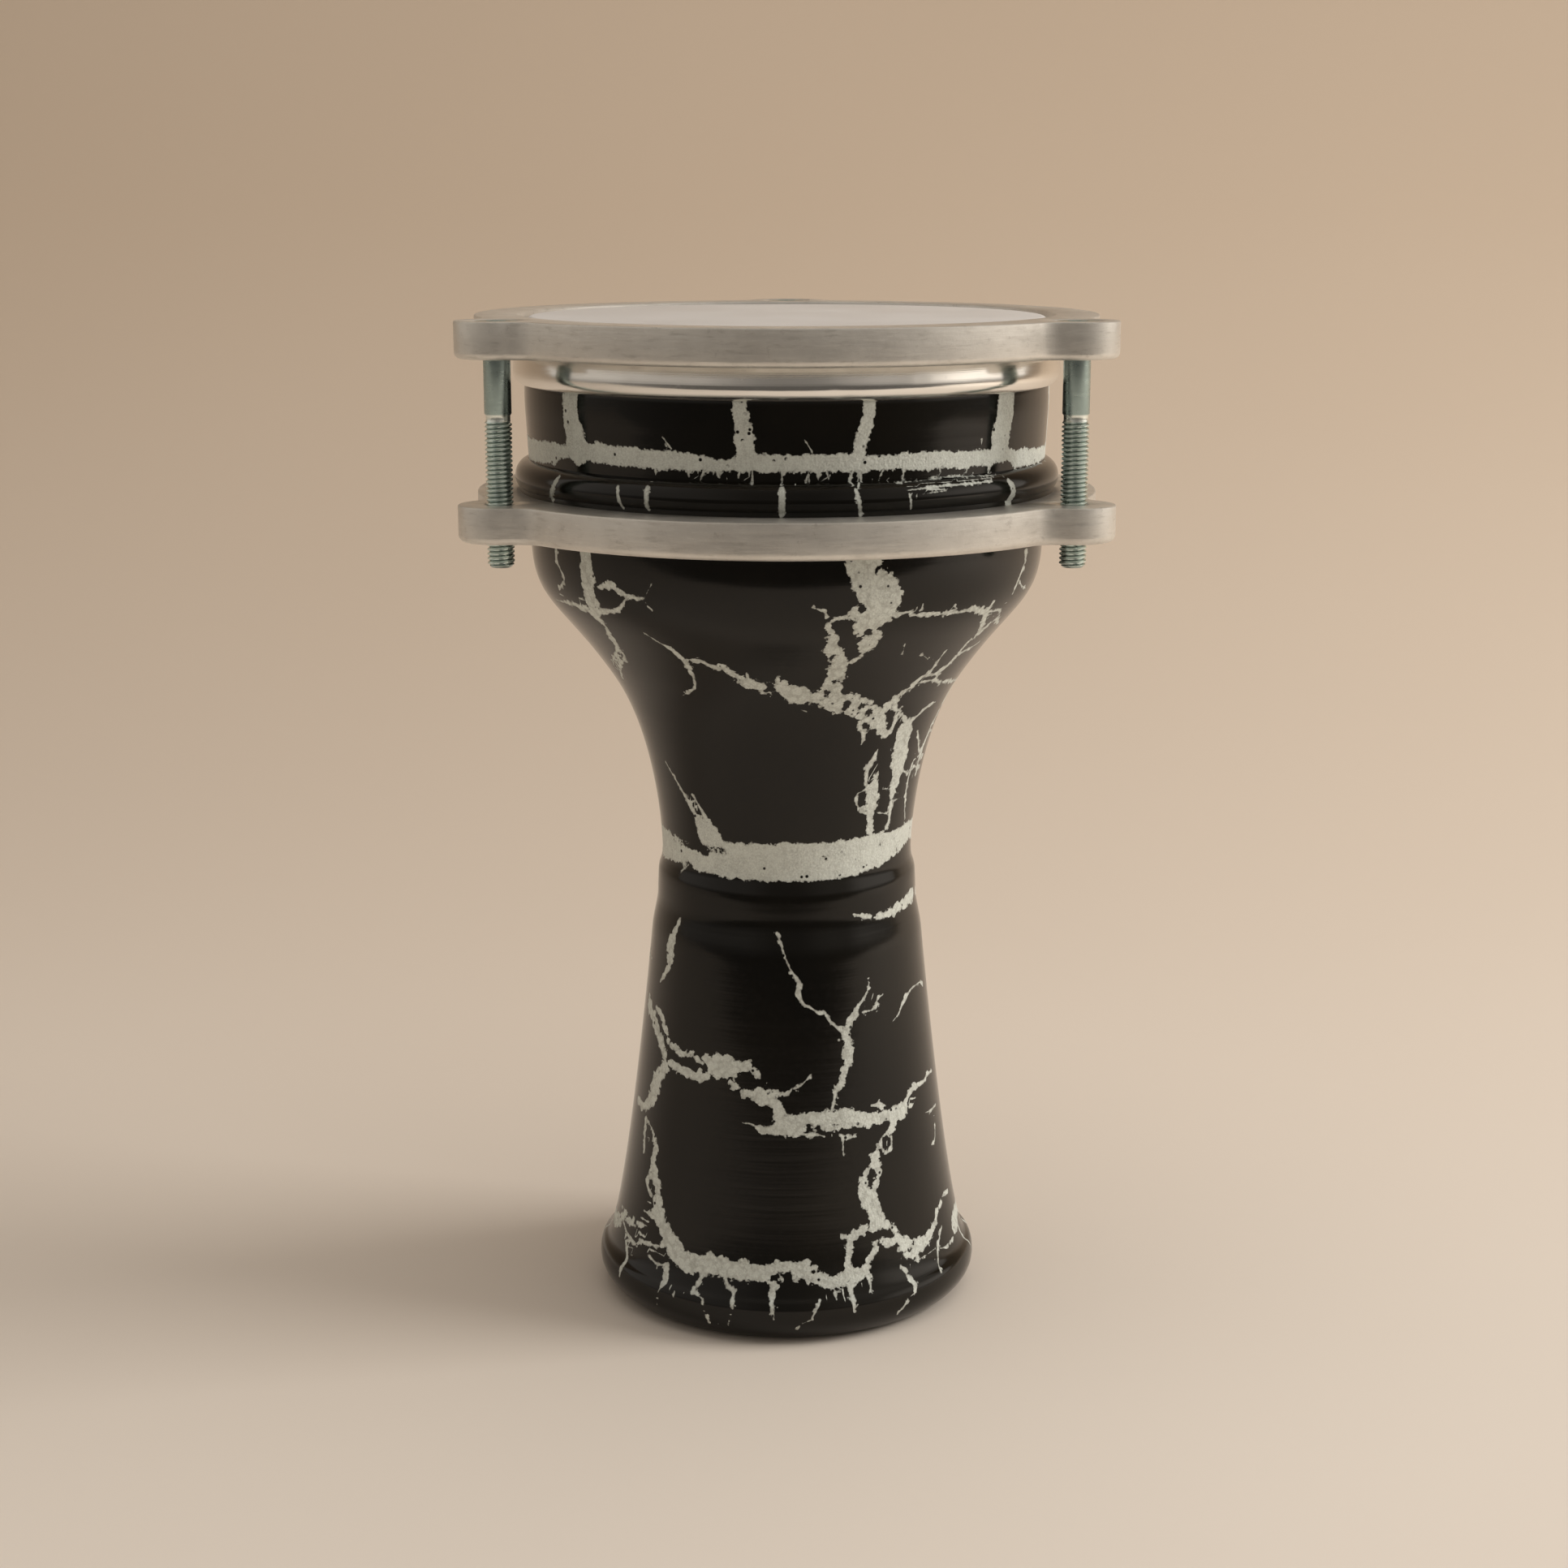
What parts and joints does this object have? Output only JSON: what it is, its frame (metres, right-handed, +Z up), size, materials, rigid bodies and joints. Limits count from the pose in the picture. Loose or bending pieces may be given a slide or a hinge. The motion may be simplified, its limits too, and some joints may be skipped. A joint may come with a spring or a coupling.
{
  "type": "darbuka",
  "caption": "Small goblet drum: cast shell, synthetic head in a hoop, and a tension ring screwed down to a lower ring.",
  "frame": {"origin": "on the drum's axis, in the plane of the foot's rim that the drum stands on", "axes": "+Z up along the drum's axis, -Y the front, with one screw at each side of the front and one at the back"},
  "size_m": [0.1456, 0.1546, 0.2363],
  "materials": {
    "shell_enamel": "cast aluminium under gloss black enamel with a matte silver-grey crackle",
    "ring_casting": "satin, machined casting",
    "hoop_aluminium": "polished",
    "head_film": "coated white film, satin",
    "spring_steel": "plain",
    "zinc_steel": "blue zinc plate",
    "washer_steel": "zinc plate"
  },
  "bodies": {
    "drum": {"cast_shell": "shell_enamel", "lower_ring": "ring_casting", "head_membrane": "head_film", "head_hoop": "hoop_aluminium", "film_lock_ring": "spring_steel"},
    "tension_ring_body": {"tension_ring": "ring_casting", "washer_front_left": "washer_steel", "washer_front_right": "washer_steel", "washer_back": "washer_steel"},
    "screw_front_left_body": {"screw_front_left": "zinc_steel"},
    "screw_front_right_body": {"screw_front_right": "zinc_steel"},
    "screw_back_body": {"screw_back": "zinc_steel"}
  },
  "joints": [
    {"name": "tension_ring_lift", "type": "slide", "parent": "drum", "child": "tension_ring_body", "axis": [0, 0, 1], "range_m": [0, 0.012]},
    {"name": "screw_front_left_turn", "type": "hinge", "parent": "tension_ring_body", "child": "screw_front_left_body", "pos_m": [-0.06348, -0.03665, 0.2], "axis": [0, 0, 1], "range_deg": [0, 4320]},
    {"name": "screw_front_right_turn", "type": "hinge", "parent": "tension_ring_body", "child": "screw_front_right_body", "pos_m": [0.06348, -0.03665, 0.2], "axis": [0, 0, 1], "range_deg": [0, 4320]},
    {"name": "screw_back_turn", "type": "hinge", "parent": "tension_ring_body", "child": "screw_back_body", "pos_m": [0, 0.0733, 0.2], "axis": [0, 0, 1], "range_deg": [0, 4320]}
  ],
  "couplings": [
    {"joint": "screw_front_left_turn", "follows": "tension_ring_lift", "rad_per_m": 6283.2},
    {"joint": "screw_front_right_turn", "follows": "tension_ring_lift", "rad_per_m": 6283.2},
    {"joint": "screw_back_turn", "follows": "tension_ring_lift", "rad_per_m": 6283.2}
  ]
}
